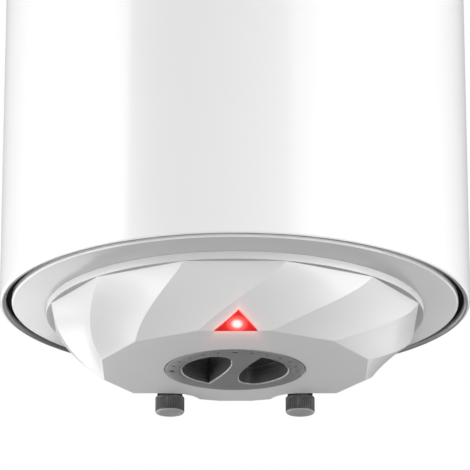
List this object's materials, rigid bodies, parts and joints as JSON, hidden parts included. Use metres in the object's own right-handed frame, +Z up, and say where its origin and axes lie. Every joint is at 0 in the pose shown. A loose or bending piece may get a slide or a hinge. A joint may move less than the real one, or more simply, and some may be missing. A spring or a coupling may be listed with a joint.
{
  "type": "tank water heater",
  "caption": "Slim upright wall-hung electric storage water heater: round white casing with pipes, swirl-shaped cover, control knob and lamp underneath.",
  "frame": {"origin": "middle of the two wall bolt holes, on the wall's surface", "axes": "+Z up, +Y into the wall, +X to the right of someone facing the heater; the heater's axis is vertical, 196.5 mm in front of the wall"},
  "size_m": [0.353, 0.373, 0.8642],
  "materials": {
    "casing_enamel": "gloss white stove enamel",
    "lid_enamel": "satin white enamel",
    "pan_plastic": "satin light grey moulding",
    "black_rubber": "matt",
    "grey_rubber": "matt",
    "pu_foam": "rigid polyurethane foam",
    "tank_enamel": "vitreous enamelled steel",
    "plated_steel": "zinc plated",
    "stainless": "stainless tube",
    "brass_parts": "plain brass",
    "magnesium": "cast magnesium",
    "ceramic_white": "unglazed",
    "white_plastic": "moulded",
    "cover_plastic": "gloss white moulding",
    "knob_plastic": "dark grey moulding",
    "cap_plastic": "dark grey ribbed moulding",
    "black_plastic": "black moulding",
    "lens_red": "clear red moulding",
    "led_red": "lit light-emitting diode",
    "button_red": "moulded",
    "bracket_paint": "powder coat",
    "lead_brown": "insulated wire",
    "lead_blue": "insulated wire",
    "lead_green": "insulated wire",
    "lead_white": "insulated wire"
  },
  "bodies": {
    "heater": {"outer_casing": "casing_enamel", "top_lid": "lid_enamel", "bottom_pan": "pan_plastic", "rim_seal": "black_rubber", "insulation_foam": "pu_foam", "tank_shell": "tank_enamel", "tank_top_dome": "tank_enamel", "tank_bottom_dome": "tank_enamel", "flange_collar": "tank_enamel", "flange_gasket": "black_rubber", "heater_flange": "plated_steel", "flange_bolts": "brass_parts", "heating_element": "stainless", "element_bushes": "ceramic_white", "thermostat_pocket": "stainless", "anode_rod": "magnesium", "anode_nut": "plated_steel", "earth_screw": "brass_parts", "cold_nipple": "stainless", "hot_nipple": "stainless", "inlet_diffuser": "white_plastic", "hot_outlet_tube": "stainless", "cold_sleeve": "black_plastic", "hot_sleeve": "black_plastic", "pan_grommets": "grey_rubber", "thermostat_body": "white_plastic", "thermostat_probe": "brass_parts", "terminal_block": "ceramic_white", "terminal_screws": "plated_steel", "live_lead": "lead_brown", "neutral_lead": "lead_blue", "load_lead": "lead_brown", "earth_lead": "lead_green", "lamp_leads": "lead_white", "indicator_led": "led_red", "lamp_holder": "white_plastic", "lamp_lens": "lens_red", "swirl_cover": "cover_plastic", "cover_screws": "plated_steel", "cable_gland": "black_plastic", "gland_nut": "black_plastic", "wall_bracket": "bracket_paint", "bracket_pad": "black_rubber", "bracket_bolts": "plated_steel", "bracket_nuts": "plated_steel", "bracket_lug": "tank_enamel", "wall_spacer": "black_plastic", "spacer_screw": "plated_steel"},
    "knob": {"control_knob": "knob_plastic", "thermostat_spindle": "plated_steel"},
    "reset": {"reset_button": "button_red"},
    "cold_cap_body": {"cold_cap": "cap_plastic"},
    "hot_cap_body": {"hot_cap": "cap_plastic"}
  },
  "joints": [
    {"name": "knob_turn", "type": "hinge", "parent": "heater", "child": "knob", "pos_m": [0, -0.1965, -0.6885], "axis": [0, 0, 1], "range_deg": [-90, 90]},
    {"name": "reset_press", "type": "slide", "parent": "heater", "child": "reset", "axis": [0, 0, 1], "range_m": [0, 0.0015], "stiffness_N_per_m": 400, "springref_m": -0.001},
    {"name": "cold_cap_pull", "type": "slide", "parent": "heater", "child": "cold_cap_body", "axis": [0, 0, -1], "range_m": [0, 0.025]},
    {"name": "hot_cap_pull", "type": "slide", "parent": "heater", "child": "hot_cap_body", "axis": [0, 0, -1], "range_m": [0, 0.025]}
  ]
}
